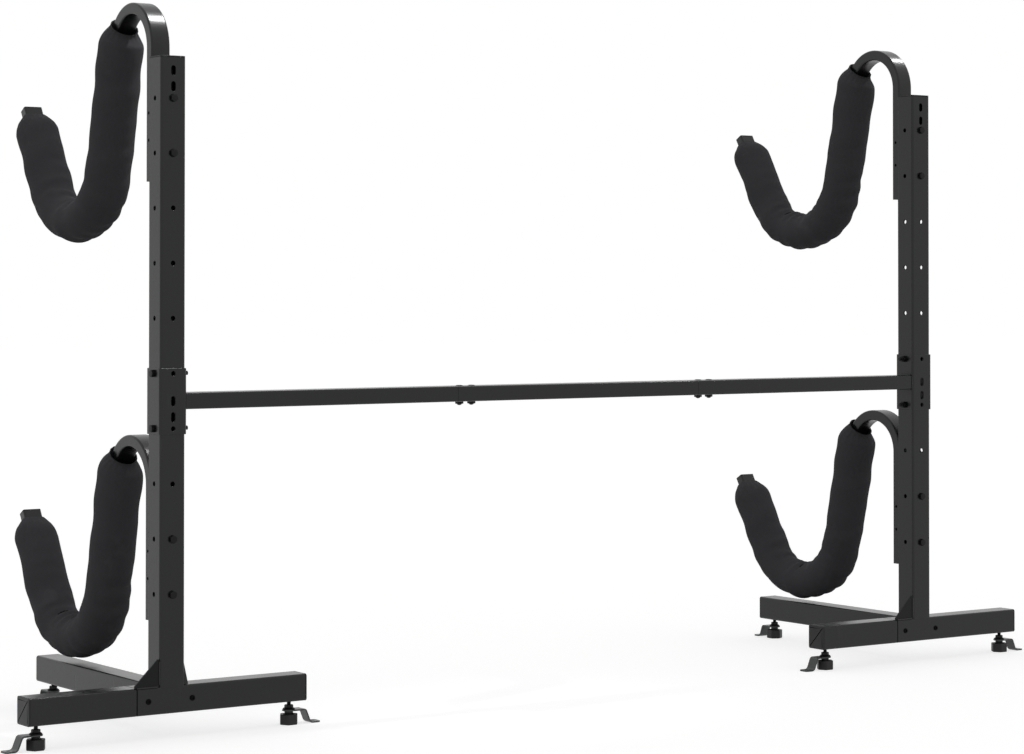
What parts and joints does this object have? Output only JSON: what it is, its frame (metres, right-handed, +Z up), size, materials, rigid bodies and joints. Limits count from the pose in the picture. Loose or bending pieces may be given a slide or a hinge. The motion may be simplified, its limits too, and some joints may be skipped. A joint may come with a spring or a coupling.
{
  "type": "freestanding kayak rack",
  "caption": "Freestanding rack of square steel tube for storing kayaks: posts on three-legged bases, a bolted crossbar, and padded J-shaped cradles in tiers.",
  "frame": {"origin": "middle of the footprint's bounding rectangle, on the floor", "axes": "+X along the crossbar, from the left post to the right one as seen from the posts' side; +Y the way that the cradles and the back legs reach; +Z up"},
  "size_m": [2.46, 0.6343, 1.3424],
  "materials": {
    "steel": "semi-gloss black powder coat",
    "plastic": "satin black moulding",
    "fabric": "black woven nylon over foam",
    "zinc": "dark zinc plate"
  },
  "bodies": {
    "rack": {"left_lower_post": "steel", "left_upper_post": "steel", "left_coupling_sleeve": "steel", "left_base_bar": "steel", "left_front_leg": "steel", "left_back_leg": "steel", "left_gusset": "steel", "left_post_plug": "plastic", "left_front_leg_end_plug": "plastic", "left_base_bar_end_plug": "plastic", "left_back_leg_end_plug": "plastic", "left_upper_cradle_arm": "steel", "left_upper_pad_sleeve": "fabric", "left_upper_tip_plug": "plastic", "left_upper_arm_bolt_1": "zinc", "left_upper_arm_bolt_2": "zinc", "left_lower_cradle_arm": "steel", "left_lower_pad_sleeve": "fabric", "left_lower_tip_plug": "plastic", "left_lower_arm_bolt_1": "zinc", "left_lower_arm_bolt_2": "zinc", "right_lower_post": "steel", "right_upper_post": "steel", "right_coupling_sleeve": "steel", "right_base_bar": "steel", "right_front_leg": "steel", "right_back_leg": "steel", "right_gusset": "steel", "right_post_plug": "plastic", "right_front_leg_end_plug": "plastic", "right_base_bar_end_plug": "plastic", "right_back_leg_end_plug": "plastic", "right_upper_cradle_arm": "steel", "right_upper_pad_sleeve": "fabric", "right_upper_tip_plug": "plastic", "right_upper_arm_bolt_1": "zinc", "right_upper_arm_bolt_2": "zinc", "right_lower_cradle_arm": "steel", "right_lower_pad_sleeve": "fabric", "right_lower_tip_plug": "plastic", "right_lower_arm_bolt_1": "zinc", "right_lower_arm_bolt_2": "zinc", "crossbar_left": "steel", "crossbar_middle": "steel", "crossbar_right": "steel"},
    "left_front_leg_strap": {"left_front_leg_hold_down_strap": "zinc"},
    "left_front_leg_foot": {"left_front_leg_levelling_foot": "plastic"},
    "left_base_bar_strap": {"left_base_bar_hold_down_strap": "zinc"},
    "left_base_bar_foot": {"left_base_bar_levelling_foot": "plastic"},
    "left_back_leg_strap": {"left_back_leg_hold_down_strap": "zinc"},
    "left_back_leg_foot": {"left_back_leg_levelling_foot": "plastic"},
    "right_front_leg_strap": {"right_front_leg_hold_down_strap": "zinc"},
    "right_front_leg_foot": {"right_front_leg_levelling_foot": "plastic"},
    "right_base_bar_strap": {"right_base_bar_hold_down_strap": "zinc"},
    "right_base_bar_foot": {"right_base_bar_levelling_foot": "plastic"},
    "right_back_leg_strap": {"right_back_leg_hold_down_strap": "zinc"},
    "right_back_leg_foot": {"right_back_leg_levelling_foot": "plastic"}
  },
  "joints": [
    {"name": "left_front_leg_foot_lift", "type": "slide", "parent": "rack", "child": "left_front_leg_strap", "axis": [0, 0, 1], "range_m": [-0.015, 0.008]},
    {"name": "left_front_leg_foot_turn", "type": "hinge", "parent": "left_front_leg_strap", "child": "left_front_leg_foot", "pos_m": [-1.165, -0.2866, 0.02], "axis": [0, 0, 1], "range_deg": [-4320, 2304]},
    {"name": "left_base_bar_foot_lift", "type": "slide", "parent": "rack", "child": "left_base_bar_strap", "axis": [0, 0, 1], "range_m": [-0.015, 0.008]},
    {"name": "left_base_bar_foot_turn", "type": "hinge", "parent": "left_base_bar_strap", "child": "left_base_bar_foot", "pos_m": [-0.655, -0.2866, 0.02], "axis": [0, 0, 1], "range_deg": [-4320, 2304]},
    {"name": "left_back_leg_foot_lift", "type": "slide", "parent": "rack", "child": "left_back_leg_strap", "axis": [0, 0, 1], "range_m": [-0.015, 0.008]},
    {"name": "left_back_leg_foot_turn", "type": "hinge", "parent": "left_back_leg_strap", "child": "left_back_leg_foot", "pos_m": [-0.91, 0.1934, 0.02], "axis": [0, 0, 1], "range_deg": [-4320, 2304]},
    {"name": "right_front_leg_foot_lift", "type": "slide", "parent": "rack", "child": "right_front_leg_strap", "axis": [0, 0, 1], "range_m": [-0.015, 0.008]},
    {"name": "right_front_leg_foot_turn", "type": "hinge", "parent": "right_front_leg_strap", "child": "right_front_leg_foot", "pos_m": [0.655, -0.2866, 0.02], "axis": [0, 0, 1], "range_deg": [-4320, 2304]},
    {"name": "right_base_bar_foot_lift", "type": "slide", "parent": "rack", "child": "right_base_bar_strap", "axis": [0, 0, 1], "range_m": [-0.015, 0.008]},
    {"name": "right_base_bar_foot_turn", "type": "hinge", "parent": "right_base_bar_strap", "child": "right_base_bar_foot", "pos_m": [1.165, -0.2866, 0.02], "axis": [0, 0, 1], "range_deg": [-4320, 2304]},
    {"name": "right_back_leg_foot_lift", "type": "slide", "parent": "rack", "child": "right_back_leg_strap", "axis": [0, 0, 1], "range_m": [-0.015, 0.008]},
    {"name": "right_back_leg_foot_turn", "type": "hinge", "parent": "right_back_leg_strap", "child": "right_back_leg_foot", "pos_m": [0.91, 0.1934, 0.02], "axis": [0, 0, 1], "range_deg": [-4320, 2304]}
  ],
  "couplings": [
    {"joint": "left_front_leg_foot_turn", "follows": "left_front_leg_foot_lift", "rad_per_m": 5026.5},
    {"joint": "left_base_bar_foot_turn", "follows": "left_base_bar_foot_lift", "rad_per_m": 5026.5},
    {"joint": "left_back_leg_foot_turn", "follows": "left_back_leg_foot_lift", "rad_per_m": 5026.5},
    {"joint": "right_front_leg_foot_turn", "follows": "right_front_leg_foot_lift", "rad_per_m": 5026.5},
    {"joint": "right_base_bar_foot_turn", "follows": "right_base_bar_foot_lift", "rad_per_m": 5026.5},
    {"joint": "right_back_leg_foot_turn", "follows": "right_back_leg_foot_lift", "rad_per_m": 5026.5}
  ]
}
